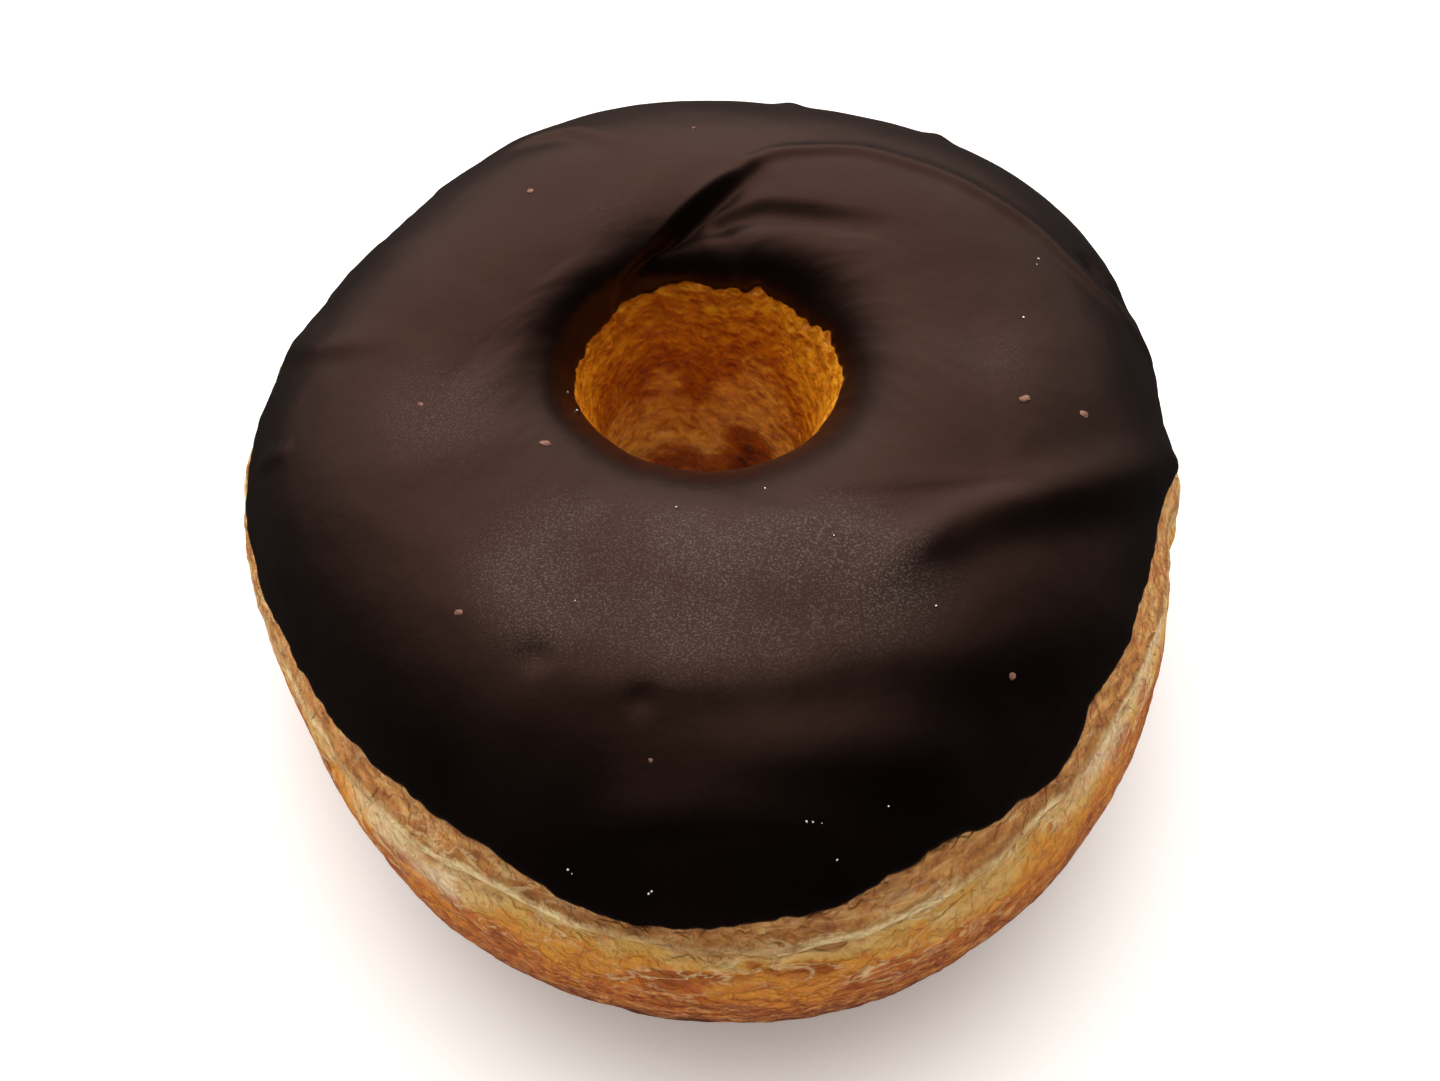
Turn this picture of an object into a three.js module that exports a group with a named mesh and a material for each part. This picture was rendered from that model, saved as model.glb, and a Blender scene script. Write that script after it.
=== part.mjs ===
// A ring doughnut of fried yeast dough under a poured chocolate icing, lying flat on a table.
// Millimetres, +Z up. The origin is on the table, under the middle of the doughnut.

import * as THREE from 'three';

// Driving dimensions, in millimetres.
const ringReach = 48; // middle of the ring to its outer wall, on average
const crownReach = 26.9; // middle of the crown line to the crown line, on average
const crownOffset = { x: 0.2, y: -1.5 }; // the crown line lies a little before the middle of the ring
const holeReach = 9.6; // middle of the hole to its wall, on average
const holeOffset = { x: -1.2, y: 11.1 }; // the hole lies well behind it
const waistHeight = 18.8; // height of the widest line above the table
const crownRise = 19.05; // waist to the top of the dough, on average
const bellyDrop = 20; // waist to the bottom of the round belly, which the table flattens
const icingGap = 0.3; // clearance between the dough and the icing
const icingThickness = 1; // of the poured icing, away from its edges
const icingEdgeThickness = 0.5; // where the icing ends
const icingEdgeHeight = 27.5; // outer edge of the icing, on average
const raggedEdgeHeight = 30.2; // edge of the icing inside the hole, on average
const proofLineHeight = 24.5; // lip where the fried upper and lower halves meet, on average

// How round the section is on each side of the crown line: 1 is an ellipse, and less is squarer.
const outerFullness = 1;
const holeFullness = 0.7;

// The wall of the hole is drawn down, by this much at its narrowest and steeply less towards the crown.
const holePlunge = { depth: 9, steepness: 5 };

// The crown is thicker in front and a little thicker on the right.
const crownTilt = { cos: 0.092, sin: -0.162 };

// Waves round the ring, as [cosine, sine] parts in millimetres for 1, 2, 3 ... waves a turn.
const outlineWaves = [
  [0.45, 1.1], [-3.4, -0.15], [-0.7, 0.55], [0.15, 0.1], [-0.45, -0.2], [0.15, -0.4], [0, 0], [0.2, 0.1],
];
const crownWaves = [
  [0.3, 0.35], [-1.2, 0.35], [-0.3, 0], [0.1, 0.05], [-0.25, -0.1], [0.05, -0.2], [0, 0], [0.1, 0.05],
];
const holeWaves = [[0, 0], [0.6, -0.8]];
const icingEdgeWaves = [[1.4, -1.5], [-0.4, -0.9], [0.45, -0.45], [-0.25, -0.7]];
const raggedEdgeWaves = [[1.8, 0.4], [0, 0], [0.1, 0.1], [0.1, -0.1], [0.1, 0.1]];
const proofLineWaves = [[1.15, -0.6], [-1, -0.9], [0.1, 0.2], [-0.65, -0.6]];

// How finely the skin is divided.
const stepsAround = 80;
const icedRows = 16;
const bareRows = 15;
const stripRows = 2;

// Folds in the crown. Each follows a line seen from above. On the left of the line is its crest,
// which slopes away over the back, and on the right it steps down into a hollow.
const folds = [
  { // the sharp lip that rises out of the hole and tucks under behind it
    line: [[-13.9, 14.1], [-12.1, 18], [-9.3, 22], [-6.5, 24.5], [-2.5, 27.7], [0.4, 30.2], [3.2, 33.2]],
    crest: 0.5, dip: 1.9, back: 7, step: 1.2, hollow: 5, fadeIn: 0.3, fadeOut: 0.3,
  },
  { // the thin ridge that goes on from the lip to the right-hand wall
    line: [[1, 32.4], [6.4, 33.9], [16.3, 33.8], [26, 28.3], [32.6, 22.4], [38.5, 14.6], [42.1, 9.2]],
    crest: 0.5, dip: 0.3, back: 2.4, step: 1.6, hollow: 4, fadeIn: 0.1, fadeOut: 0.25,
  },
  { // the step behind the hole, right of the lip
    line: [[-1.5, 27.2], [1.5, 27.9], [8.3, 27.3], [13.1, 26.3], [21.9, 23.7]],
    crest: 0.3, dip: 0.9, back: 3, step: 1.6, hollow: 3, fadeIn: 0.2, fadeOut: 0.6,
  },
  { // the roll between that step and the hole
    line: [[-4.5, 22.5], [-2.5, 23.9], [2.4, 25.5], [7.4, 25.9], [13.3, 24.6], [18, 21.5]],
    crest: 0.6, dip: 0.1, back: 1.4, step: 2.2, hollow: 4, fadeIn: 0.3, fadeOut: 0.4,
  },
  { // the strong ridge in front of the hole, growing towards the right-hand wall
    line: [[2.2, -10.1], [9.5, -14.7], [13.9, -15.8], [19.3, -15.3], [25.8, -12.6], [37.5, -5.3], [42.5, 0.1]],
    crest: 1.1, dip: 1.3, back: 2.4, step: 3, hollow: 5, fadeIn: 0.75, fadeOut: 0.08,
  },
  { // the shallow trough behind that ridge
    line: [[2.2, -8.7], [7.7, -10.9], [14, -12.2], [21.3, -11.6], [29.6, -8.7], [37.6, -3.9]],
    crest: -0.45, dip: 0, back: 2, step: 1.6, hollow: 2, fadeIn: 0.4, fadeOut: 0.3,
  },
  { // the first wave in front of the ridge, on the right
    line: [[13, -27.2], [16.4, -25.6], [21.7, -23.6], [29.1, -20.4], [34.8, -16.6], [38.6, -14.6]],
    crest: 0.9, dip: 0.5, back: 3.2, step: 3.2, hollow: 4, fadeIn: 0.5, fadeOut: 0.25,
  },
  { // the second wave
    line: [[1, -40.4], [3.8, -39], [7.2, -37.7], [14.3, -36], [19.7, -35], [25, -33.6]],
    crest: 0.6, dip: 0.2, back: 2.2, step: 2.2, hollow: 3, fadeIn: 0.35, fadeOut: 0.4,
  },
  { // the low wave over the front wall
    line: [[-14, -39.6], [-10.9, -41], [-6.6, -41.1], [-1.4, -41], [3.8, -41.7], [10, -42.2]],
    crest: 0.55, dip: 0.2, back: 2.4, step: 2, hollow: 3, fadeIn: 0.35, fadeOut: 0.35,
  },
  { // the wrinkle on the left
    line: [[-42, 15.8], [-40.3, 15.2], [-36.1, 13.8], [-32.2, 13.2], [-27.2, 12.1]],
    crest: 0.4, dip: 0.2, back: 2.6, step: 1.6, hollow: 3, fadeIn: 0.2, fadeOut: 0.5,
  },
  { // the wrinkle at the back, on the left
    line: [[-23, 40.2], [-18.7, 41.6], [-14.6, 41.4], [-11.6, 39.2], [-8.6, 36.8]],
    crest: 0.4, dip: 0.3, back: 2, step: 1.5, hollow: 2.5, fadeIn: 0.3, fadeOut: 0.4,
  },
  { // the crease at the back, on the right
    line: [[34.8, 24.6], [36.4, 23.4], [37.6, 22.3], [38.8, 21.3], [40.2, 18.8]],
    crest: -0.7, dip: 0, back: 1.3, step: 1.3, hollow: 2, fadeIn: 0.3, fadeOut: 0.3,
  },
];

// The nub where the strong ridge ends on the right-hand wall.
const nub = { x: 43.2, y: 1.8, height: 0.7, reach: 3 };

// The lip of dough along the proof line, with its crest above and its groove below.
const proofLip = { crest: 0.45, dip: 0.5, back: 1.6, step: 0.9, hollow: 2.6 };

const fullTurn = 2 * Math.PI;
const outerWall = 0;
const holeWall = fullTurn / 2;
const closeBy = 0.001;
const linePieces = 40;

function wave(around, mean, parts) {
  return parts.reduce((sum, [cosine, sine], index) => {
    const turned = (index + 1) * around;
    return sum + cosine * Math.cos(turned) + sine * Math.sin(turned);
  }, mean);
}

function bell(distance, reach) {
  return Math.exp(-((distance / reach) ** 2));
}

// The height of a fold at a signed distance from its crest line, positive on the crest's back.
function foldProfile(fold, distance) {
  if (distance > 0) {
    return fold.crest * bell(distance, fold.back);
  }
  return (fold.crest + fold.dip) * bell(distance, fold.step) - fold.dip * bell(distance, fold.hollow);
}

for (const fold of folds) {
  const curve = new THREE.SplineCurve(fold.line.map(([x, y]) => new THREE.Vector2(x, y)));
  fold.points = curve.getPoints(linePieces);
}

// What one fold adds at a place seen from above.
function foldHeight(fold, place) {
  let nearest = 0;
  fold.points.forEach((point, index) => {
    if (point.distanceTo(place) < fold.points[nearest].distanceTo(place)) {
      nearest = index;
    }
  });
  const before = fold.points[Math.max(nearest - 1, 0)];
  const after = fold.points[Math.min(nearest + 1, linePieces)];
  const along = after.clone().sub(before);
  const away = place.clone().sub(fold.points[nearest]);
  const side = Math.sign(along.cross(away)) || 1;
  const share = nearest / linePieces;
  const fade = THREE.MathUtils.smoothstep(share, 0, fold.fadeIn)
    * (1 - THREE.MathUtils.smoothstep(share, 1 - fold.fadeOut, 1));
  return fade * foldProfile(fold, side * away.length());
}

// The uneven swelling of proved dough, full on the outer wall and calm in the hole.
function swelling(around, section) {
  const slow = 0.25 * Math.sin(5 * around + 2 * Math.sin(section));
  const quick = 0.2 * Math.sin(8 * around - 3 * Math.cos(section) + 1);
  return (slow + quick) * (1 + Math.cos(section)) / 2;
}

// A closed line round the ring, seen from above.
function ringLine(around, reach, waves, offset) {
  const distance = wave(around, reach, waves);
  return new THREE.Vector2(offset.x + distance * Math.cos(around), offset.y + distance * Math.sin(around));
}

// The place of the crown line, and the way outwards to the wall from it, or to it from the hole.
function sectionSpan(around, outside) {
  const crown = ringLine(around, crownReach, crownWaves, crownOffset);
  if (outside) {
    return { crown, span: ringLine(around, ringReach, outlineWaves, { x: 0, y: 0 }).sub(crown) };
  }
  return { crown, span: crown.clone().sub(ringLine(around, holeReach, holeWaves, holeOffset)) };
}

function crownHeight(around) {
  return crownRise * (1 + crownTilt.cos * Math.cos(around) + crownTilt.sin * Math.sin(around));
}

// The smooth section. Its angle is 0 on the outer wall, a quarter turn on top and half a turn in the
// hole. The share is 1 on the outer wall, 0 on the crown line and -1 in the hole.
function sectionPoint(around, section) {
  const across = Math.cos(section);
  const upwards = Math.sin(section);
  const fullness = across > 0 ? outerFullness : holeFullness;
  const halfHeight = upwards > 0 ? crownHeight(around) : bellyDrop;
  const share = Math.sign(across) * Math.abs(across) ** fullness;
  const rounded = halfHeight * Math.sign(upwards) * Math.abs(upwards) ** fullness;
  const plunge = holePlunge.depth * Math.max(-share, 0) ** holePlunge.steepness;
  return { share, height: rounded - plunge };
}

// The direction off the smooth section, outwards and up, from two of its points close by.
function sectionNormal(around, section, spanLength) {
  const before = sectionPoint(around, section - closeBy);
  const after = sectionPoint(around, section + closeBy);
  const run = spanLength * (after.share - before.share);
  return new THREE.Vector2(after.height - before.height, -run).normalize();
}

// A point of the skin. Lift is the distance outwards from the dough.
function skinPoint(around, section, lift) {
  const across = Math.cos(section);
  const upwards = Math.sin(section);
  const { crown, span } = sectionSpan(around, across > 0);
  const { share, height } = sectionPoint(around, section);
  const place = crown.addScaledVector(span, share);

  const normal = sectionNormal(around, section, span.length());

  // In the hole the folds die away as the wall steepens.
  let relief = swelling(around, section);
  if (upwards > 0) {
    const strength = across > 0 ? 1 : normal.y;
    relief += strength * folds.reduce((sum, fold) => sum + foldHeight(fold, place), 0);
    relief += nub.height * bell(Math.hypot(place.x - nub.x, place.y - nub.y), nub.reach);
  }
  if (across > 0) {
    const proofLine = wave(around, proofLineHeight, proofLineWaves);
    relief += foldProfile(proofLip, waistHeight + height - proofLine);
  }

  place.addScaledVector(span.normalize(), (relief + lift) * normal.x);
  const level = waistHeight + height + (relief + lift) * normal.y;
  return new THREE.Vector3(place.x, place.y, Math.max(level, 0));
}

// The section's angle where the outer wall or the wall of the hole reaches a height, halved down to
// from the quarter turn above the waist.
function sectionAt(around, height, wallAngle) {
  let low = wallAngle;
  let high = fullTurn / 4;
  for (let step = 0; step < 40; step += 1) {
    const between = (low + high) / 2;
    if (waistHeight + sectionPoint(around, between).height < height) {
      low = between;
    } else {
      high = between;
    }
  }
  return low;
}

function icingEdge(around) {
  return sectionAt(around, wave(around, icingEdgeHeight, icingEdgeWaves), outerWall);
}

function raggedEdge(around) {
  return sectionAt(around, wave(around, raggedEdgeHeight, raggedEdgeWaves), holeWall);
}

// Even steps from one angle up to, but not reaching, the next.
function evenSteps(from, to, count) {
  return Array.from({ length: count }, (_, index) => from + ((to - from) * index) / count);
}

// A closed skin whose rows run round the ring: rowsAt gives the points of one section. Each
// four-sided patch is split along its shorter diagonal, so that skins that run side by side match.
function closedSkin(rowsAt) {
  const sections = evenSteps(0, fullTurn, stepsAround).map(rowsAt);
  const rowCount = sections[0].length;
  const points = sections.flat();
  const corner = (step, row) => (step % stepsAround) * rowCount + (row % rowCount);
  const faces = [];
  for (let step = 0; step < stepsAround; step += 1) {
    for (let row = 0; row < rowCount; row += 1) {
      const [a, b] = [corner(step, row), corner(step + 1, row)];
      const [c, d] = [corner(step + 1, row + 1), corner(step, row + 1)];
      if (points[a].distanceTo(points[c]) < points[b].distanceTo(points[d])) {
        faces.push(a, b, c, a, c, d);
      } else {
        faces.push(a, b, d, b, c, d);
      }
    }
  }
  const geometry = new THREE.BufferGeometry().setFromPoints(points);
  geometry.setIndex(faces);
  geometry.computeVertexNormals();
  return geometry;
}

// The dough: under the icing, down the hole, under the belly, and up the outer wall to the icing.
function doughSection(around) {
  const iced = [icingEdge(around), raggedEdge(around)];
  const proofLine = wave(around, proofLineHeight, proofLineWaves);
  const groove = sectionAt(around, proofLine - proofLip.step, outerWall) + fullTurn;
  const lip = sectionAt(around, proofLine, outerWall) + fullTurn;
  const angles = [
    ...evenSteps(iced[0], iced[1], icedRows),
    ...evenSteps(iced[1], groove, bareRows),
    ...evenSteps(groove, lip, 1),
    ...evenSteps(lip, iced[0] + fullTurn, stripRows),
  ];
  return angles.map((section) => skinPoint(around, section, 0));
}

// The icing: its outer face from the outer edge to the ragged one, then its inner face back.
function icingSection(around) {
  const edges = [icingEdge(around), raggedEdge(around)];
  const angles = [...evenSteps(edges[0], edges[1], icedRows), edges[1]];
  const outer = angles.map((section, row) => {
    const atEdge = row === 0 || row === icedRows;
    const thickness = atEdge ? icingEdgeThickness : icingThickness;
    return skinPoint(around, section, icingGap + thickness);
  });
  const inner = angles.map((section) => skinPoint(around, section, icingGap));
  return [...outer, ...inner.reverse()];
}

function piece(name, section, finish) {
  const mesh = new THREE.Mesh(closedSkin(section), new THREE.MeshStandardMaterial(finish));
  mesh.name = name;
  return mesh;
}

const dough = piece('dough_ring', doughSection, { color: '#a8692f', roughness: 0.6, metalness: 0 });
const icing = piece('chocolate_icing', icingSection, { color: '#33231d', roughness: 0.4, metalness: 0 });

const doughnut = new THREE.Group();
doughnut.add(dough, icing);

// The middle of the doughnut comes over the origin.
const middle = new THREE.Box3().setFromObject(doughnut).getCenter(new THREE.Vector3());
doughnut.position.set(-middle.x, -middle.y, 0);

export default doughnut;
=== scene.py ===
"""A ring doughnut of fried yeast dough under a poured chocolate icing, on a pale floor in soft light.

The skins are worked out in millimetres about the middle of the ring, and their meshes are in metres."""
import math
import random
from types import SimpleNamespace

import bmesh
import bpy
import numpy as np
from mathutils import Matrix, Vector, noise


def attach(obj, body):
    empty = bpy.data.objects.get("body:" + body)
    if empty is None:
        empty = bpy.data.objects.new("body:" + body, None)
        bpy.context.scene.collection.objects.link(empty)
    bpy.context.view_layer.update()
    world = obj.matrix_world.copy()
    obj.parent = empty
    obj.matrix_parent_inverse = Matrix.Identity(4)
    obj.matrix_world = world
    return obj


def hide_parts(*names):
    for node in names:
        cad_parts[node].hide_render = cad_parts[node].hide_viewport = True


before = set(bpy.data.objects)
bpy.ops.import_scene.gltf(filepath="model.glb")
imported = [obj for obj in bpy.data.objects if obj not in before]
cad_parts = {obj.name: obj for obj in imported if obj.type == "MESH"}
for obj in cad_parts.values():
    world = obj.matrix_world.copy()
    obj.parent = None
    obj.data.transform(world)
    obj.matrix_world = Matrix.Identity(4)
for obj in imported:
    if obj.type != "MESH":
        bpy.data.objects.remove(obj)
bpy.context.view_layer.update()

MILLIMETRE = 0.001
FULL_TURN = 2 * math.pi
OUTER_WALL = 0  # the section's angle at the outer wall
HOLE_WALL = math.pi  # and in the hole
CLOSE_BY = 0.001  # between two points of a section whose slope is wanted
HALVINGS = 30  # to find where a section reaches a height
STEPS_AROUND = 592
ROLL_REACH = 3  # middle to section of the ring that a grid is first rolled into, whose section is 1
WELD_DISTANCE = 0.001  # below which two of its vertices are one
SEED_SHIFT = 17.3  # between the places where noise is read for one seed and the next
RING_MIDDLE = np.array([0.57, -0.58, 0.0])  # of the ring's own centre in the frame

# The form, in millimetres, as the CAD source has it.
RING_REACH = 48  # middle of the ring to its outer wall, on average
CROWN_REACH = 26.9  # middle of the crown line to the crown line, on average
CROWN_OFFSET = (0.2, -1.5)  # the crown line lies a little before the middle of the ring
HOLE_REACH = 9.6  # middle of the hole to its wall, on average
HOLE_OFFSET = (-1.2, 11.1)  # the hole lies well behind it
WAIST_HEIGHT = 18.8
CROWN_RISE = 19.05
BELLY_DROP = 20
ICING_EDGE_HEIGHT = 27.5
RAGGED_EDGE_HEIGHT = 30.2
PROOF_LINE_HEIGHT = 24.5
CROWN_TILT = (0.092, -0.162)  # cosine and sine parts of the crown's height round the ring

# How round the section is on each side of the crown line: 1 is an ellipse, and less is squarer.
OUTER_FULLNESS = 1
HOLE_FULLNESS = 0.7

# The wall of the hole is drawn down by this much at its narrowest, and steeply less towards the crown.
HOLE_PLUNGE = 9
PLUNGE_STEEPNESS = 5

# Waves round the ring, as (cosine, sine) parts in millimetres for 1, 2, 3 ... waves a turn.
OUTLINE_WAVES = (
    (0.45, 1.1), (-3.4, -0.15), (-0.7, 0.55), (0.15, 0.1), (-0.45, -0.2), (0.15, -0.4), (0, 0), (0.2, 0.1),
)
CROWN_WAVES = (
    (0.3, 0.35), (-1.2, 0.35), (-0.3, 0), (0.1, 0.05), (-0.25, -0.1), (0.05, -0.2), (0, 0), (0.1, 0.05),
)
HOLE_WAVES = ((0, 0), (0.6, -0.8))
ICING_EDGE_WAVES = ((1.4, -1.5), (-0.4, -0.9), (0.45, -0.45), (-0.25, -0.7))
ICING_RUNS = (  # angle round the ring, and how much higher the icing ends there
    (225, 0), (240, 0.5), (247, -0.4), (252, -1.2), (258, -1.8), (265, -1), (270, -0.6), (277, 0.5),
    (284, 1.1), (290, 1.6), (293, 2.2), (299, 1.3), (306, 0), (311, -1), (320, 0),
)
RAGGED_EDGE_WAVES = ((1.8, 0.4), (0, 0), (0.1, 0.1), (0.1, -0.1), (0.1, 0.1))
PROOF_LINE_WAVES = ((1.15, -0.6), (-1, -0.9), (0.1, 0.2), (-0.65, -0.6))

ICING_THICKNESS = 1.3  # from the dough to the icing's face
EDGE_ROUNDING = 1.1  # how far from its poured edge the icing reaches that thickness
TORN_THINNING = 0.9  # how far from its torn edge it starts to round down
TORN_STEP = 0.35  # how far it stands above the bare dough in the hole
MEAN_RADIUS = 20  # of the section, which turns its angles into distances

# Unevenness, as heights and widths in millimetres.
SLOW_SWELLING = 0.25
QUICK_SWELLING = 0.2
POURED_EDGE_REACH = 47  # middle of the ring to the icing's poured edge
POURED_SCALLOPS = ((0.5, 6), (0.35, 2))
TORN_EDGE_REACH = 12
TEARS = ((0.9, 3.4), (0.4, 0.9))
NUB = dict(angle=66, reach=4, height=0.9)  # of dough, which stands up into the torn edge at the back

# Folds in the crown. Each follows a line seen from above, with its crest and back on the left of
# the line and a step down into a hollow on the right. The fades are shares of the line's length.
FOLDS = (
    dict(  # the sharp lip that rises out of the hole and tucks under behind it
        line=(
            (-14.2, 14.2), (-12.7, 17.3), (-10.9, 19.8), (-8.5, 22.4), (-5.3, 25.4), (-1.9, 28.8),
            (0.7, 31.4), (3, 33.3), (4.6, 34.5),
        ),
        crest=0.6, dip=2.3, back=7, step=0.9, hollow=5, fade_in=0.3, fade_out=0.4,
    ),
    dict(  # the thin ridge that goes on from the lip to the right-hand wall
        line=(
            (2.2, 32.8), (5.5, 34.9), (8.2, 35.4), (13.3, 35.5), (17.7, 33.8), (23.3, 31.1), (30.6, 25.9),
            (34, 21.9), (37.9, 17.6), (42.2, 13), (44.1, 5),
        ),
        crest=0.35, dip=0.1, back=1.1, step=0.8, hollow=2, fade_in=0.05, fade_out=0.25,
    ),
    dict(  # the crease behind the hole, right of the lip
        line=(
            (-2.4, 26.4), (-0.4, 27.6), (1.6, 28.4), (4.8, 28.7), (8.2, 27.9), (11.6, 27), (15, 26.1),
            (18.5, 24.9), (22, 23.2),
        ),
        crest=0.3, dip=1.3, back=2.5, step=1.5, hollow=3, fade_in=0.15, fade_out=0.6,
    ),
    dict(  # the strong ridge in front of the hole, growing towards the right-hand wall
        line=(
            (9.8, -26.2), (13, -23.3), (16.7, -19.6), (19.6, -17), (22.1, -15.1), (25.2, -13.5),
            (28.1, -12.1), (30.9, -10.3), (34.5, -7.6), (40, -2.6), (43, 1.6),
        ),
        crest=0.8, dip=1.1, back=2.4, step=2.8, hollow=6, fade_in=0.35, fade_out=0.06,
    ),
    dict(  # the rise from the shallow trough behind that ridge
        line=(
            (0, -11.8), (2.3, -12.8), (5.8, -14.6), (8.9, -15.3), (10.8, -17), (14.7, -17.4),
            (18.5, -16.8), (22, -15),
        ),
        crest=0.35, dip=0, back=1.6, step=6, hollow=6, fade_in=0.3, fade_out=0.3,
    ),
    dict(  # a faint line in that trough
        line=((7, -11), (11.3, -11.2), (17.3, -10.8), (24.9, -9.8), (30, -8)),
        crest=0.1, dip=0.1, back=1.8, step=0.9, hollow=2, fade_in=0.3, fade_out=0.4,
    ),
    dict(  # the first wave in front of the ridge, on the right
        line=(
            (11, -28), (14.9, -28.6), (19.5, -28.9), (24.4, -28), (31.5, -24), (35.8, -20.6), (39, -16.5),
        ),
        crest=0.5, dip=0.7, back=3.2, step=3, hollow=4, fade_in=0.5, fade_out=0.2,
    ),
    dict(  # the low step where the level part ends in front
        line=(
            (-16, -29.5), (-10.1, -31), (-4.7, -31.9), (1.3, -32.3), (7.2, -31.8), (11.8, -30.1),
            (16.3, -28.1),
        ),
        crest=0.15, dip=0.45, back=3, step=2.4, hollow=4.5, fade_in=0.35, fade_out=0.3,
    ),
    dict(  # the second wave
        line=(
            (-6, -38.7), (0.4, -38.8), (5.7, -38.6), (11.7, -38.2), (16.3, -37.8), (20, -37.2), (24, -35.5),
        ),
        crest=0.9, dip=0.2, back=3.4, step=2.4, hollow=3, fade_in=0.4, fade_out=0.35,
    ),
    dict(  # the low wave over the front wall
        line=(
            (-15, -41.5), (-10.7, -42.6), (-6.5, -42.8), (-2.1, -42.9), (3, -42.8), (8, -42.5), (13, -42),
        ),
        crest=0.95, dip=0.3, back=2.6, step=2, hollow=3, fade_in=0.35, fade_out=0.35,
    ),
    dict(  # the wrinkle on the left
        line=((-42.3, 17.4), (-40.9, 16), (-37.2, 12.9), (-33.1, 11.6), (-28, 10.8)),
        crest=0.4, dip=0.2, back=2.6, step=1.6, hollow=3, fade_in=0.2, fade_out=0.5,
    ),
    dict(  # the wrinkle at the back, on the left
        line=((-23, 40.2), (-18.7, 41.6), (-14.6, 41.4), (-11.6, 39.2), (-8.6, 36.8)),
        crest=0.4, dip=0.3, back=2, step=1.2, hollow=2.5, fade_in=0.3, fade_out=0.4,
    ),
    dict(  # the crease at the back, on the right
        line=((34.8, 24.6), (36.4, 23.4), (37.6, 22.3), (38.8, 21.3), (40.2, 18.8)),
        crest=-0.7, dip=0, back=1.1, step=1.1, hollow=2, fade_in=0.3, fade_out=0.3,
    ),
    dict(  # a faint streak along the front wall, on the right
        line=((33.5, -24.5), (30.8, -29), (28.4, -32.3), (26, -36), (23.9, -39.4), (20.5, -42.5)),
        crest=0.25, dip=0.05, back=1.2, step=1, hollow=2, fade_in=0.3, fade_out=0.3,
    ),
    dict(  # a faint ridge left of the hole
        line=((-32.9, -5.6), (-26.4, -4.4), (-20, -3.1), (-15.5, -3.1)),
        crest=0.25, dip=0.05, back=3, step=3, hollow=4, fade_in=0.4, fade_out=0.4,
    ),
    dict(  # a small wrinkle at the left-hand edge
        line=((-43.2, 1.9), (-41, 0.8), (-39.3, 0.4)),
        crest=0.25, dip=0.1, back=1.2, step=1, hollow=2, fade_in=0.3, fade_out=0.4,
    ),
)
LINE_PIECES = 40

# Small rises and dimples in the icing: place seen from above, height and reach.
BUMPS = (
    (43.2, 1.8, 0.7, 3),
    (7.5, 46.5, 0.35, 1.2),
    (22.2, 42, 0.4, 1.2),
    (-15.9, -28.4, -0.3, 1.5),
    (-6.4, -33.3, -0.3, 1.3),
    (-6, 20.3, -1.7, 4.6),
)

# Patches of painted sparkle, bright grain standing in for the sheen's glints on the icing's level parts:
# place seen from above, strength and reach.
SPARKLE_PATCHES = (
    (-1, -21, 1, 11), (-14, -20, 0.8, 9), (13, -21, 0.9, 8), (-26, 2, 0.5, 10), (26, 6, 0.4, 8),
    (-10, 28, 0.3, 9),
)

# Patches of the wall that stayed palest: angle round the ring, depth below the lip, length and reach.
BARE_PATCHES = ((239, 3, 4, 1.8), (228, 2, 5, 1.5), (322, 1.5, 6, 2), (338, 0.5, 7, 2.5), (195, 0, 9, 3))

PROOF_LIP = dict(crest=0.45, dip=0.5, back=1.6, step=0.7, hollow=2.6)


def wave(around, mean, parts):
    """A mean with waves round the ring."""
    total = np.full_like(around, mean)
    for turns, (cosine, sine) in enumerate(parts, 1):
        total += cosine * np.cos(turns * around) + sine * np.sin(turns * around)
    return total


def bell(distance, reach):
    return np.exp(-((distance / reach) ** 2))


def smooth(value, start, end):
    share = np.clip((value - start) / (end - start), 0, 1)
    return share * share * (3 - 2 * share)


def fold_profile(distance, crest, dip, back, step, hollow):
    """The height of a fold at a signed distance from its crest line, positive on the crest's back."""
    front = (crest + dip) * bell(distance, step) - dip * bell(distance, hollow)
    return np.where(distance > 0, crest * bell(distance, back), front)


def fold_line(corners):
    """A smooth line through the corners, as points with even shares of its way."""
    corners = np.array(corners, float)
    last = len(corners) - 1
    points = []
    for way in np.linspace(0, last, LINE_PIECES + 1):
        index = min(int(way), last - 1)
        share = way - index
        before, start, end, after = corners[np.clip(np.arange(index - 1, index + 3), 0, last)]
        leaving, arriving = (end - before) / 2, (after - start) / 2
        cubic = 2 * start - 2 * end + leaving + arriving
        square = -3 * start + 3 * end - 2 * leaving - arriving
        points.append(cubic * share ** 3 + square * share ** 2 + leaving * share + start)
    return np.array(points)


def fold_height(fold, x, y):
    """What one fold adds at places seen from above."""
    points = fold_line(fold["line"])
    nearest = np.full(x.shape, np.inf)
    signed = np.zeros(x.shape)
    share = np.zeros(x.shape)
    for index, (start, end) in enumerate(zip(points[:-1], points[1:])):
        along = end - start
        ahead = (x - start[0]) * along[0] + (y - start[1]) * along[1]
        ahead = np.clip(ahead / along.dot(along), 0, 1)
        off_x = x - start[0] - ahead * along[0]
        off_y = y - start[1] - ahead * along[1]
        distance = np.hypot(off_x, off_y)
        closer = distance < nearest
        side = np.where(along[0] * off_y - along[1] * off_x < 0, -1, 1)
        nearest = np.where(closer, distance, nearest)
        signed = np.where(closer, side * distance, signed)
        share = np.where(closer, (index + ahead) / LINE_PIECES, share)
    fade = smooth(share, 0, fold["fade_in"]) * (1 - smooth(share, 1 - fold["fade_out"], 1))
    sizes = {key: fold[key] for key in ("crest", "dip", "back", "step", "hollow")}
    return fade * fold_profile(signed, **sizes)


def crown_height(around):
    return CROWN_RISE * wave(around, 1, (CROWN_TILT,))


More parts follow.
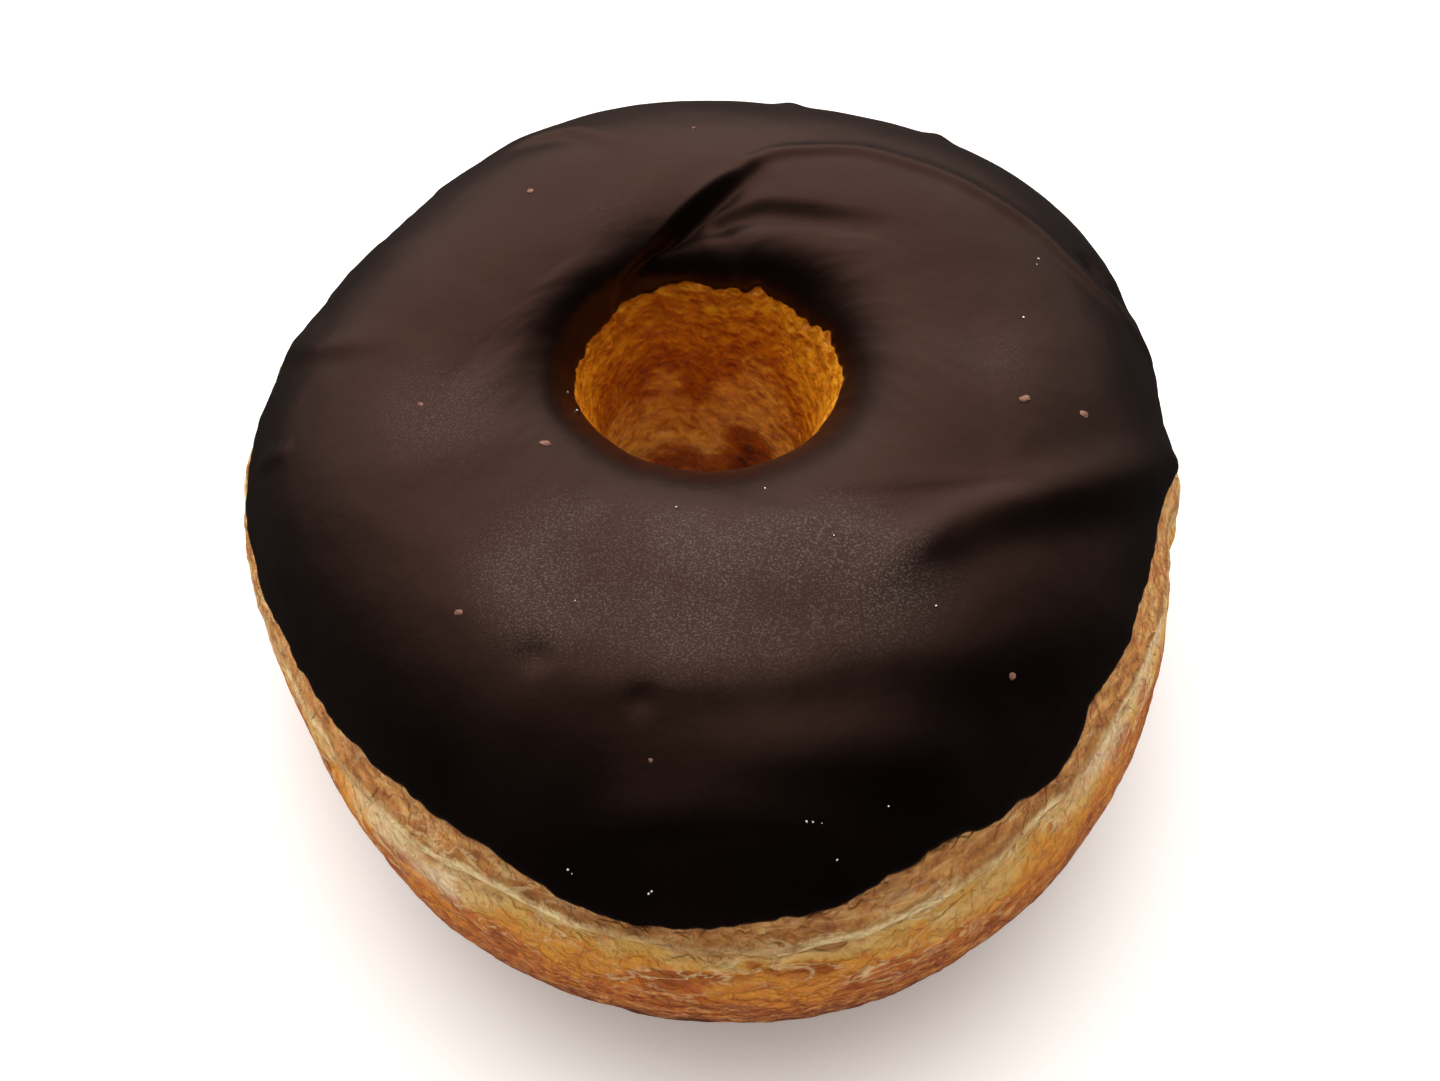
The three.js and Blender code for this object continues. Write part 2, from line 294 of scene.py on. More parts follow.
def ring_line(around, reach, waves, offset=(0, 0)):
    """A closed line round the ring, seen from above."""
    direction = np.stack([np.cos(around), np.sin(around)], -1)
    return direction * wave(around, reach, waves)[:, None] + offset


def section_point(around, section):
    """The smooth section. Its angle is 0 on the outer wall, a quarter turn on top and half a turn in
    the hole. The share is 1 on the outer wall, 0 on the crown line and -1 in the hole, and the
    height is measured from the waist."""
    across, upwards = np.cos(section), np.sin(section)
    fullness = np.where(across > 0, OUTER_FULLNESS, HOLE_FULLNESS)
    reach = (np.abs(across) ** (2 / fullness) + np.abs(upwards) ** (2 / fullness)) ** (-fullness / 2)
    half_height = np.where(upwards > 0, crown_height(around), BELLY_DROP)
    share = reach * across
    plunge = HOLE_PLUNGE * np.maximum(-share, 0) ** PLUNGE_STEEPNESS
    return share, half_height * reach * upwards - plunge


def skin(around, section):
    """Points of the plain skin and the directions out of it."""
    crown = ring_line(around, CROWN_REACH, CROWN_WAVES, CROWN_OFFSET)
    wall = ring_line(around, RING_REACH, OUTLINE_WAVES)
    hole = ring_line(around, HOLE_REACH, HOLE_WAVES, HOLE_OFFSET)
    span = np.where((np.cos(section) > 0)[:, None], wall - crown, crown - hole)
    length = np.linalg.norm(span, axis=1)
    share, height = section_point(around, section)
    share_before, height_before = section_point(around, section - CLOSE_BY)
    share_after, height_after = section_point(around, section + CLOSE_BY)
    run, rise = length * (share_after - share_before), height_after - height_before
    normals = np.column_stack([span * (rise / length)[:, None], -run])
    points = np.column_stack([crown + span * share[:, None], WAIST_HEIGHT + height])
    return points, normals / np.linalg.norm(normals, axis=1)[:, None]


def section_at(around, height, wall_angle):
    """The section's angle where the outer wall or the wall of the hole reaches a height, halved down
    to from the quarter turn."""
    low, high = np.full_like(around, wall_angle), np.full_like(around, FULL_TURN / 4)
    for _ in range(HALVINGS):
        between = (low + high) / 2
        below = WAIST_HEIGHT + section_point(around, between)[1] < height
        low, high = np.where(below, between, low), np.where(below, high, between)
    return low


def table_round(heights_at):
    """A line's heights round the ring, worked out once on a fine table."""
    angles = np.linspace(0, FULL_TURN, 2 * STEPS_AROUND, endpoint=False)
    heights = heights_at(angles)
    return lambda around: np.interp(around, angles, heights, period=FULL_TURN)


def swelling(around, section):
    """The uneven swelling of proved dough, full on the outer wall and calm in the hole."""
    slow = SLOW_SWELLING * np.sin(5 * around + 2 * np.sin(section))
    quick = QUICK_SWELLING * np.sin(8 * around - 3 * np.cos(section) + 1)
    return (slow + quick) * (1 + np.cos(section)) / 2


def mottle(points, sizes, octaves=2, seed=0):
    """Noise of about -1 to 1 at points, whose features have the given sizes along the three axes."""
    scaled = points / sizes + seed * SEED_SHIFT
    return np.array([noise.fractal(Vector(place), 1, 2, octaves) for place in scaled])


def ridged(points, sizes, seed):
    """Noise of about -1 to 1 with sharp ridges."""
    return 1 - 2 * np.abs(mottle(points, sizes, 3, seed))


def round_coordinates(around, section):
    """The skin unrolled: two coordinates go round the ring, and the third along the section."""
    return np.column_stack([
        RING_REACH * np.cos(around), RING_REACH * np.sin(around), MEAN_RADIUS * section,
    ])


def uneven_line(around, reach, bumps, first_seed):
    """Chance rises and dips along a ring, as pairs of a height and a width."""
    circle = reach * np.column_stack([np.cos(around), np.sin(around), np.zeros_like(around)])
    return sum(
        height * mottle(circle, width, seed=seed) for seed, (height, width) in enumerate(bumps, first_seed)
    )


def icing_edge_heights(around):
    """The icing's outer edge, with its runs and small scallops."""
    scallops = uneven_line(around, POURED_EDGE_REACH, POURED_SCALLOPS, first_seed=1)
    angles, rises = np.transpose(ICING_RUNS)
    runs = np.interp(np.degrees(around) % 360, angles, rises)
    return wave(around, ICING_EDGE_HEIGHT, ICING_EDGE_WAVES) + runs + scallops


def torn_edge_heights(around):
    """The icing's torn edge inside the hole."""
    tears = uneven_line(around, TORN_EDGE_REACH, TEARS, first_seed=3)
    nub = NUB["height"] * bell(around - math.radians(NUB["angle"]), math.radians(NUB["reach"]))
    return wave(around, RAGGED_EDGE_HEIGHT, RAGGED_EDGE_WAVES) + tears + nub


icing_edge = table_round(icing_edge_heights)
torn_edge = table_round(torn_edge_heights)


def crown_relief(points, normals, section):
    """The folds and bumps of the crown. In the hole the folds die away as the wall steepens."""
    x, y = points[:, 0], points[:, 1]
    relief = sum(fold_height(fold, x, y) for fold in FOLDS)
    relief *= np.where(np.cos(section) > 0, 1, normals[:, 2])
    for bump_x, bump_y, height, reach in BUMPS:
        relief += height * bell(np.hypot(x - bump_x, y - bump_y), reach)
    return np.where(np.sin(section) > 0, relief, 0)


def below_proof_line(around, points):
    """How far points are below the line where the dough stopped proving above the oil."""
    return wave(around, PROOF_LINE_HEIGHT, PROOF_LINE_WAVES) - points[:, 2]


def large_relief(around, section, points, normals, below):
    """What dough and icing share: the swelling, the folds and the lip of the proof line."""
    lip = np.where(np.cos(section) > 0, fold_profile(-below, **PROOF_LIP), 0)
    return swelling(around, section) + crown_relief(points, normals, section) + lip


def link(name, mesh):
    piece = bpy.data.objects.new(name, mesh)
    bpy.context.collection.objects.link(piece)
    return piece


def ring_piece(name, steps, rows, shape):
    """A flat grid rolled into a closed ring and welded along its seams. shape takes each vertex's
    angle round the ring and its row on the section, and gives its point and the values that its
    material reads."""
    form = bmesh.new()
    bmesh.ops.create_grid(form, x_segments=steps, y_segments=rows, size=0.5)
    for vertex in form.verts:
        around, section = vertex.co.x * FULL_TURN, vertex.co.y * FULL_TURN
        reach = ROLL_REACH + math.cos(section)
        vertex.co = (reach * math.cos(around), reach * math.sin(around), math.sin(section))
    bmesh.ops.remove_doubles(form, verts=form.verts, dist=WELD_DISTANCE)
    bmesh.ops.recalc_face_normals(form, faces=form.faces)
    places = np.array([vertex.co for vertex in form.verts])
    around = np.arctan2(places[:, 1], places[:, 0])
    from_middle = np.hypot(places[:, 0], places[:, 1])
    share = np.arctan2(places[:, 2], from_middle - ROLL_REACH) / FULL_TURN
    points, values = shape(around, np.round(share * rows) % rows)
    mesh = bpy.data.meshes.new(name)
    form.to_mesh(mesh)
    form.free()
    mesh.vertices.foreach_set("co", ((points + RING_MIDDLE) * MILLIMETRE).ravel())
    for key, value in values.items():
        kind, field = ("FLOAT", "value") if value.ndim == 1 else ("FLOAT_VECTOR", "vector")
        mesh.attributes.new(key, kind, "POINT").data.foreach_set(field, value.astype(np.float32).ravel())
    mesh.polygons.foreach_set("use_smooth", [True] * len(mesh.polygons))
    mesh.update()
    return link(name, mesh)


def spread(row, stops):
    """Maps rows to values: stops are (row, values) in order, and rows between two stops are even."""
    result = np.zeros_like(row)
    for (first, start), (last, end) in zip(stops[:-1], stops[1:]):
        share = (row - first) / (last - first)
        result = np.where((row >= first) & (row <= last), start + (end - start) * share, result)
    return result


# The dough. Its rows run under the icing, down the hole, under the belly and up the outer wall.
DOUGH_ROWS = 168
HIDDEN_ROWS = 36
HOLE_ROWS = 34
LOWER_HOLE_ROWS = 12
UNDERSIDE_ROWS = 8

# The section's angles where the lower part of the hole starts, at the feet of the hole and the wall, and
# from the icing's poured edge up to the seam where the rows start and end.
LOWER_HOLE = math.radians(185.4)
HOLE_FOOT = math.radians(249)
WALL_FOOT = math.radians(291)
SEAM_ABOVE_EDGE = 0.1

# The dough sinks under the icing, and below the torn edge it stands out. Each pair says how far from
# an edge of the icing that starts and is complete, as the section's angles.
COVERED_DEPTH = 0.5
UNDER_TORN_EDGE = (0.12, 0.03)
UNDER_POURED_EDGE = (0.01, 0.08)
STANDING_EDGE = (0.2, 0.04)

# The wall and the hole by the cosine of the section's angle, from where each starts to where it is full.
WALL_START = (-0.2, 0.3)
HOLE_START = (0, 0.4)

# The depths below the lip where the pale skin starts and ends.
PALE_START = (-0.4, 0.3)
PALE_END = (3.5, 7)

# The skin's own relief: its height and its features' size, or their sizes along the three axes. On the
# unrolled skin the first two go round the ring, and the third goes along the section.
LIP_WANDER = (0.7, (9, 9, 9))
PALE_WRINKLES = (0.16, (4.5, 4.5, 1.7))
BROWN_FLAKES = (0.09, (2.2, 2.2, 1.2))
WALL_LUMPS = (0.2, 4)
HOLE_CRUMB = (0.45, (2, 2, 1.6))

SCORCHED = (52, 6, 20)  # where the hole is browned higher up: its angle, how much higher and its reach


def dough_section(around, row, poured):
    """The section's angles of the dough's rows. They start and end just above the poured edge."""
    seam = poured + SEAM_ABOVE_EDGE
    inner_edge = section_at(around, wave(around, RAGGED_EDGE_HEIGHT, RAGGED_EDGE_WAVES), HOLE_WALL)
    stop = np.cumsum([0, HIDDEN_ROWS, HOLE_ROWS, LOWER_HOLE_ROWS, UNDERSIDE_ROWS])
    return spread(row, (
        (stop[0], seam), (stop[1], inner_edge), (stop[2], LOWER_HOLE),
        (stop[3], HOLE_FOOT), (stop[4], WALL_FOOT), (DOUGH_ROWS, seam + FULL_TURN),
    ))


def skin_relief(wall, hole, below, points, coordinates):
    """The relief of proved and fried skin: wrinkles where it stayed pale, small flakes lower down and
    crumb in the hole."""
    pale = wall * smooth(below, *PALE_START) * (1 - smooth(below, *PALE_END))
    wrinkle_height, wrinkle_sizes = PALE_WRINKLES
    flake_height, flake_sizes = BROWN_FLAKES
    lump_height, lump_size = WALL_LUMPS
    crumb_height, crumb_sizes = HOLE_CRUMB
    relief = wrinkle_height * pale * ridged(coordinates, wrinkle_sizes, seed=6)
    relief += flake_height * (1 - pale) * ridged(coordinates, flake_sizes, seed=7)
    relief += lump_height * mottle(coordinates, lump_size, seed=9)
    return wall * relief + crumb_height * hole * mottle(points, crumb_sizes, seed=8)


def standing_out(section, poured, torn):
    """The dough is sunk where the icing covers it. Below the torn edge it stands as high as the icing,
    less the step."""
    start, end = UNDER_TORN_EDGE
    covered = 1 - smooth(section, torn - start, torn - end)
    start, end = UNDER_POURED_EDGE
    covered += smooth(section - FULL_TURN, poured + start, poured + end)
    start, end = STANDING_EDGE
    standing = smooth(section, torn - start, torn - end) * (1 - smooth(section, LOWER_HOLE, HOLE_FOOT))
    return (ICING_THICKNESS - TORN_STEP) * standing - COVERED_DEPTH * covered


def bare_patches(around, below):
    """How much each place belongs to the patches that stayed palest."""
    bare = np.zeros_like(around)
    for angle, depth, length, reach in BARE_PATCHES:
        away = (np.mod(around - math.radians(angle) + math.pi, FULL_TURN) - math.pi) * RING_REACH
        bare += bell(away, length) * bell(below - depth, reach)
    return bare


def dough_shape(around, row):
    """The dough's points, and what its material reads."""
    poured = section_at(around, icing_edge(around), OUTER_WALL)
    torn = section_at(around, torn_edge(around), HOLE_WALL)
    section = dough_section(around, row, poured)
    points, normals = skin(around, section)
    across = np.cos(section)
    wall, hole = smooth(across, *WALL_START), smooth(-across, *HOLE_START)
    coordinates = round_coordinates(around, section)
    wander_height, wander_sizes = LIP_WANDER
    below = below_proof_line(around, points) + wander_height * mottle(coordinates, wander_sizes, seed=5)
    scorch_angle, scorch_rise, scorch_reach = SCORCHED
    scorch = scorch_rise * bell(np.degrees(around) % 360 - scorch_angle, scorch_reach) * (across < 0)
    values = {
        "below_lip": below,
        "bare": bare_patches(around, below),
        "hole": hole,
        "height": points[:, 2] - scorch,
        "unrolled": coordinates,
    }

    relief = large_relief(around, section, points, normals, below)
    relief += skin_relief(wall, hole, below, points, coordinates)
    relief += standing_out(section, poured, torn)
    points += relief[:, None] * normals
    points[:, 2] = np.maximum(points[:, 2], 0)
    return points, values


# The icing. Its rows run over its face from the outer edge to the torn one, and back inside.
ICING_ROWS = 168
EDGE_ROWS = 8
FACE_ROWS = 132
EDGE_SHARE = 0.016
FACE_UNEVENNESS = (0.07, (7, 7, 5))  # height and sizes
POURED_EDGE_SHARE = 0.25  # of the icing's thickness, that stands at the very edge
TORN_EDGE_DROP = 0.3  # of the face at the torn edge, below the step
TORN_EDGE_THICKNESS = 0.2
INSIDE_SINK = 0.2  # of the inner side at the poured edge, below the plain skin
INSIDE_RISE = 0.3  # of the inner side, from there to where the icing is thick


def icing_shape(around, row):
    """The icing's points, and how strong the painted sparkle on its level parts is."""
    outer_edge = section_at(around, icing_edge(around), OUTER_WALL)
    inner_edge = section_at(around, torn_edge(around), HOLE_WALL)
    stop = np.cumsum([0, EDGE_ROWS, FACE_ROWS - 2 * EDGE_ROWS, EDGE_ROWS])
    share = spread(row, (
        (stop[0], 0), (stop[1], EDGE_SHARE), (stop[2], 1 - EDGE_SHARE), (stop[3], 1), (ICING_ROWS, 0),
    ))
    section = outer_edge + (inner_edge - outer_edge) * share
    points, normals = skin(around, section)
    coordinates = round_coordinates(around, section)
    height, sizes = FACE_UNEVENNESS
    relief = large_relief(around, section, points, normals, below_proof_line(around, points))
    relief += height * mottle(coordinates, sizes, seed=10)

    # The poured edge is rounded, and the torn one thins out over the dough.
    poured = np.clip((section - outer_edge) * MEAN_RADIUS / EDGE_ROUNDING, 0, 1)
    rounding = np.sqrt(1 - (1 - poured) ** 2)
    torn = np.clip((inner_edge - section) * MEAN_RADIUS / TORN_THINNING, 0, 1)
    thinning = np.sqrt(1 - (1 - torn) ** 2)
    torn_face = ICING_THICKNESS - TORN_STEP - TORN_EDGE_DROP
    face = ICING_THICKNESS * (POURED_EDGE_SHARE + (1 - POURED_EDGE_SHARE) * rounding)
    face = torn_face + (face - torn_face) * thinning
    inside = INSIDE_RISE * rounding - INSIDE_SINK
    inside += (torn_face - TORN_EDGE_THICKNESS - inside) * (1 - thinning)
    lift = np.where(row <= FACE_ROWS, face, inside)
    points += (relief + lift)[:, None] * normals
    # How strong the painted sparkle is, kept in the attribute named sugar: grain that stands in for glints
    # of the sheen.
    sugar = sum(
        strength * bell(np.hypot(points[:, 0] - x, points[:, 1] - y), reach)
        for x, y, strength, reach in SPARKLE_PATCHES
    )
    return points, {"sugar": sugar}


def linear(code):
    """An sRGB hex colour as linear numbers."""
    parts = [int(code[index:index + 2], 16) / 255 for index in (1, 3, 5)]
    return (*(part / 12.92 if part <= 0.04045 else ((part + 0.055) / 1.055) ** 2.4 for part in parts), 1)


def socket(sockets, key):
    """One of a node's sockets, by its place or by its name among those in use."""
    if isinstance(key, int):
        return sockets[key]
    return next(found for found in sockets if found.enabled and found.name == key)


def add(tree, kind, settings=None, links=None, output=None):
    """Adds a node, and gives the named output or the first that is in use. Settings are the node's own
    properties, the stops of its colour ramp or its sockets' values, with colours as hex codes. Links
    feed its sockets."""
    node = tree.nodes.new("ShaderNode" + kind)
    for key, value in (settings or {}).items():
        if key == "stops":
            elements = node.color_ramp.elements
            for _ in value[2:]:
                elements.new(0.5)
            for element, (position, code) in zip(elements, value):
                element.position = position
                element.color = linear(code)
        elif isinstance(key, str) and hasattr(node, key):
            setattr(node, key, value)
        else:
            socket(node.inputs, key).default_value = linear(value) if isinstance(value, str) else value
    for key, source in (links or {}).items():
        tree.links.new(source, socket(node.inputs, key))
    if output:
        return socket(node.outputs, output)
    return next((found for found in node.outputs if found.enabled), None)


def new_material(name):
    material = bpy.data.materials.new(name)
    material.use_nodes = True
    tree = material.node_tree
    tree.nodes.clear()
    return material, tree


def patches(tree, place, sizes, detail=3, distortion=0):
    """Noise whose features have one size, or the given sizes along the three axes."""
    sizes = sizes if isinstance(sizes, tuple) else (sizes, sizes, sizes)
    scaled = add(tree, "VectorMath", {"operation": "DIVIDE", 1: sizes}, {0: place})
    settings = {"Scale": 1, "Detail": detail, "Distortion": distortion}
    return add(tree, "TexNoise", settings, {"Vector": scaled})


def mask(tree, *steps):
    """Where a finish shows: the product of its steps. A step is another mask, or a value with the two
    levels between which it eases and, unless that is from 0 to 1, what it then goes from and to."""
    product = None
    for step in steps:
        if isinstance(step, tuple):
            value, start, end, *ends = step
            low, high = ends or (0, 1)
            levels = {"From Min": start, "From Max": end, "To Min": low, "To Max": high}
            step = add(tree, "MapRange", {"interpolation_type": "SMOOTHSTEP", **levels}, {"Value": value})
        if product:
            step = add(tree, "Math", {"operation": "MULTIPLY"}, {0: product, 1: step})
        product = step
    return product


def weighted(tree, *parts):
    """The sum of values, each times its weight."""
    total = None
    for value, weight in parts:
        links = {0: value, 2: total} if total else {0: value}
        total = add(tree, "Math", {"operation": "MULTIPLY_ADD", 1: weight, 2: 0}, links)
    return total


def apart(tree, value, level):
    """How far a value is from a level."""
    difference = add(tree, "Math", {"operation": "SUBTRACT", 1: level}, {0: value})
    return add(tree, "Math", {"operation": "ABSOLUTE"}, {0: difference})


def paint(tree, base, *coats):
    """Coats over a base: each is its mask, its colour and, unless it covers, how it mixes."""
    for where, colour, *how in coats:
        settings = {"data_type": "RGBA", "blend_type": how[0] if how else "MIX"}
        links = {"Factor": where}
        for key, tint in (("A", base), ("B", colour)):
            (settings if isinstance(tint, str) else links)[key] = tint
        base = add(tree, "Mix", settings, links)
    return base


def icing_material():
    """Dark chocolate couverture icing, poured warm and set. Its face is satin and near black. On its level,
    upward-facing parts a grey bloom and fine bright grain are painted in patches as sheen and sparkle,
    the grain drawn a little coarser than it is."""
    material, tree = new_material("poured_chocolate_icing")
    place = add(tree, "TexCoord", output="Object")
    upwards = add(
        tree, "SeparateXYZ", links={"Vector": add(tree, "NewGeometry", output="Normal")}, output="Z",
    )
    cloud = patches(tree, place, 14 * MILLIMETRE, 2)
    grain = patches(tree, place, 0.2 * MILLIMETRE, 1)
    soft = patches(tree, place, 1.1 * MILLIMETRE, 2)
    dark = add(tree, "ValToRGB", {"stops": ((0.35, "#030101"), (0.65, "#070302"))}, {"Fac": cloud})
    # Painted sheen and sparkle, only where the icing faces up: a grey bloom, and bright grain in the
    # patches of the attribute named sugar.
    patch = add(tree, "Attribute", {"attribute_name": "sugar"}, output="Fac")
    level = mask(tree, (upwards, 0.9, 0.99), (patch, 0.1, 0.9), (cloud, 0.35, 0.55, 0.5, 1))
    painted_sheen = weighted(tree, (level, 0.45))
    sugar = mask(tree, (grain, 0.48, 0.7), level)
    colour = paint(tree, dark, (painted_sheen, "#302c29"), (sugar, "#4a443f"))
    roughness = mask(tree, (cloud, 0.35, 0.65, 0.34, 0.4))
    relief = weighted(tree, (grain, 0.25), (soft, 1))
    normal = add(tree, "Bump", {"Strength": 1, "Distance": 0.03 * MILLIMETRE}, {"Height": relief})
    shader = add(
        tree, "BsdfPrincipled", {"IOR": 1.47, "Specular Tint": "#ffccb8"},
        {"Base Color": colour, "Roughness": roughness, "Normal": normal},
    )
    add(tree, "OutputMaterial", links={"Surface": shader})
    return material


WALL_DEPTH = 16  # that the dough's bands reach below the lip, in millimetres
WALL_BANDS = (  # share of that depth, and colour
    (0, "#c28c46"), (0.08, "#e8bc6c"), (0.17, "#e4b050"), (0.24, "#e69a20"), (0.5, "#e28c18"),
    (0.66, "#d88432"), (0.85, "#b8682c"), (1, "#84441a"),
)
STRIP_SHADES = ((0.32, "#b06c32"), (0.5, "#d28e42"), (0.68, "#eab468"))
HOLE_HEIGHT = 32  # that the bands in the hole reach above the table
HOLE_BANDS = (  # share of that height, and colour
    (0.06, "#6c300c"), (0.18, "#b8640e"), (0.27, "#f4b84c"), (0.48, "#eeac3c"), (0.58, "#c06c0c"),
    (0.66, "#cc7810"), (0.76, "#e0921a"), (1, "#dc901c"),
)
FLAKE_SIZES = (3.4, 3.4, 1.7)  # millimetres, round the ring twice and along the section
BEND_SIZE = 5 / 3  # of the bends in the flakes' edges
BEND_REACH = 3.5


def dough_patterns(tree):
    """What the dough's finishes follow: the values of its mesh, and noise. On the unrolled skin sizes
    are in millimetres, and streaks and blotches run lengthways."""
    place = add(tree, "TexCoord", output="Object")
    unrolled = add(tree, "Attribute", {"attribute_name": "unrolled"}, output="Vector")
    values = {
        name: add(tree, "Attribute", {"attribute_name": name}, output="Fac")
        for name in ("below_lip", "bare", "hole", "height")
    }

    # Thin flakes of skin, a few millimetres wide, whose edges lift.
    bends = add(tree, "TexNoise", {"Scale": 1 / BEND_SIZE, "Detail": 3}, {"Vector": unrolled}, "Color")
    ragged = add(
        tree, "VectorMath", {"operation": "MULTIPLY_ADD", 1: (BEND_REACH, BEND_REACH, BEND_REACH)},
        {0: bends, 2: unrolled},
    )
    scaled = add(tree, "VectorMath", {"operation": "DIVIDE", 1: FLAKE_SIZES}, {0: ragged})
    edges = add(tree, "TexVoronoi", {"feature": "DISTANCE_TO_EDGE", "Scale": 1}, {"Vector": scaled})
    return SimpleNamespace(
        **values,
        wide=patches(tree, unrolled, (9, 9, 5), 2),
        blotch=patches(tree, unrolled, (4.5, 4.5, 3)),
        streak=patches(tree, unrolled, (2.6, 2.6, 0.9)),
        vein=patches(tree, unrolled, (4.6, 4.6, 1.9), distortion=0.7),
        crack=patches(tree, unrolled, (1.8, 1.8, 0.9), distortion=0.3),
        flake_edge=edges,
        fleck=patches(tree, place, 1 * MILLIMETRE, 4),
        cloud=patches(tree, place, (4.5 * MILLIMETRE, 4.5 * MILLIMETRE, 3.5 * MILLIMETRE)),
        lump=patches(tree, place, (1.6 * MILLIMETRE, 1.6 * MILLIMETRE, 1.4 * MILLIMETRE), 2),
    )


def wall_finish(tree, pattern):
    """The outer wall's colour and relief."""
    below, blotch, wide = pattern.below_lip, pattern.blotch, pattern.wide

    # The bands run round the wall at uneven depths below the lip, with golden and orange blotches.
    depth = weighted(tree, (below, 1), (mask(tree, (blotch, 0.3, 0.7, -1.6, 1.6)), 1))
    share = add(tree, "MapRange", {"From Max": WALL_DEPTH}, {"Value": depth})
    bands = add(tree, "ValToRGB", {"stops": WALL_BANDS}, {"Fac": share})
    golden = mask(tree, (wide, 0.44, 0.54), (depth, 2.8, 4.4), (depth, 9, 12, 1, 0))
    orange = mask(tree, golden, (blotch, 0.5, 0.6, 0, 0.8))
    pale = mask(tree, pattern.bare, (blotch, 0.35, 0.6, 0.2, 1))
    wall = paint(tree, bands, (golden, "#d27400"), (orange, "#b05a00"), (pale, "#f8dfb4"))

    # The strip above the lip, under the icing.
    strip = add(tree, "ValToRGB", {"stops": STRIP_SHADES}, {"Fac": pattern.streak})
    wall = paint(tree, strip, (mask(tree, (below, -0.5, 0.1)), wall))

    # Cream veins, lip and flakes, and a thin shadow beside the lip.
    veined = mask(
        tree, (apart(tree, pattern.vein, 0.5), 0.012, 0.05, 1, 0), (wide, 0.4, 0.55),
        (below, 5, 10, 0.65, 0.15), (below, -3, 0.5, 0.35, 1),
    )
    from_lip = apart(tree, below, 0)
    lip = mask(
        tree, (from_lip, 0.3, 0.8, 1, 0), (pattern.streak, 0.35, 0.55, 0.4, 1),
        (wide, 0.42, 0.55, 0.3, 1),
    )
    cream = add(tree, "Math", {"operation": "MAXIMUM"}, {0: veined, 1: lip})
    shadow = mask(tree, (from_lip, 0.6, 1.7, 0.5, 0))
    flake = mask(tree, (pattern.crack, 0.55, 0.66), (below, 5, 9, 0.1, 0.5))
    wall = paint(tree, wall, (shadow, "#94641e"), (flake, "#e6ac58"), (cream, "#f6dca0"))

    # Painted shade: the cracks and the lifted edges of flakes darkened, more of them lower down.
    cracked = mask(tree, (apart(tree, pattern.crack, 0.46), 0.01, 0.06, 1, 0), (below, 5, 11, 0.05, 0.6))
    lifted = mask(tree, (pattern.flake_edge, 0.02, 0.09, 1, 0), (below, 3, 8, 0.05, 0.55))
    wall = paint(tree, wall, (cracked, "#a86638", "MULTIPLY"), (lifted, "#cc8440", "MULTIPLY"))
    relief = weighted(
        tree, (pattern.streak, 0.35), (pattern.fleck, 0.7), (pattern.crack, 0.6),
        (mask(tree, (pattern.flake_edge, 0, 0.22)), 0.7), (veined, 0.35), (cracked, -0.5),
    )
    return wall, relief


def hole_finish(tree, pattern):
    """The hole's colour and relief: orange crumb, a paler band low down and brown at its foot."""
    level = weighted(tree, (pattern.height, 1), (mask(tree, (pattern.cloud, 0.3, 0.7, -2.5, 2.5)), 1))
    share = add(tree, "MapRange", {"From Max": HOLE_HEIGHT}, {"Value": level})
    bands = add(tree, "ValToRGB", {"stops": HOLE_BANDS}, {"Fac": share})
    # Painted shade: darker orange in the hollows between the crumb's lumps.
    crumb = paint(tree, bands, (mask(tree, (pattern.lump, 0.52, 0.38, 0, 0.45)), "#a04c04"))
    return crumb, weighted(tree, (pattern.lump, 2.4), (pattern.fleck, 0.5))


def dough_material():
    """Yeast dough fried in oil. Under the icing it is dull brown. A cream lip parts it from the pale
    band where the dough stayed above the oil, with flaky cream veins. Below that it is golden with
    orange blotches, then brown and finely cracked. In the hole it is orange crumb, shiny with oil."""
    material, tree = new_material("fried_yeast_dough")
    pattern = dough_patterns(tree)
    wall, wall_relief = wall_finish(tree, pattern)
    crumb, crumb_relief = hole_finish(tree, pattern)
    browned = mask(tree, (pattern.fleck, 0.45, 0.7, 0, 0.4))
    colour = paint(tree, wall, (pattern.hole, crumb), (browned, "#d88038", "MULTIPLY"))
    oily = mask(tree, (pattern.hole, 0, 1, 0.42, 0.18))
    roughness = weighted(tree, (mask(tree, (pattern.fleck, 0.35, 0.65)), 0.15), (oily, 1))
    relief = add(
        tree, "Mix", {"data_type": "FLOAT"},
        {"Factor": pattern.hole, "A": wall_relief, "B": crumb_relief},
    )
    normal = add(tree, "Bump", {"Strength": 0.9, "Distance": 0.5 * MILLIMETRE}, {"Height": relief})
    shader = add(
        tree, "BsdfPrincipled",
        {
            "IOR": 1.46, "Subsurface Weight": 0.2, "Subsurface Radius": (1, 0.45, 0.12),
            "Subsurface Scale": 0.8 * MILLIMETRE,
        },
        {"Base Color": colour, "Roughness": roughness, "Normal": normal},
    )
    add(tree, "OutputMaterial", links={"Surface": shader})
    return material


def finish_piece(piece, material, node=None):
    """Gives a piece its material and its body, and where it replaces a solid, that node."""
    piece.data.materials.append(material)
    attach(piece, "root")
    if node:
        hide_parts(node)
    return piece


dough = ring_piece("fried_dough_ring", STEPS_AROUND, DOUGH_ROWS, dough_shape)
finish_piece(dough, dough_material(), "dough_ring")
icing = ring_piece("poured_icing", STEPS_AROUND, ICING_ROWS, icing_shape)
finish_piece(icing, icing_material(), "chocolate_icing")


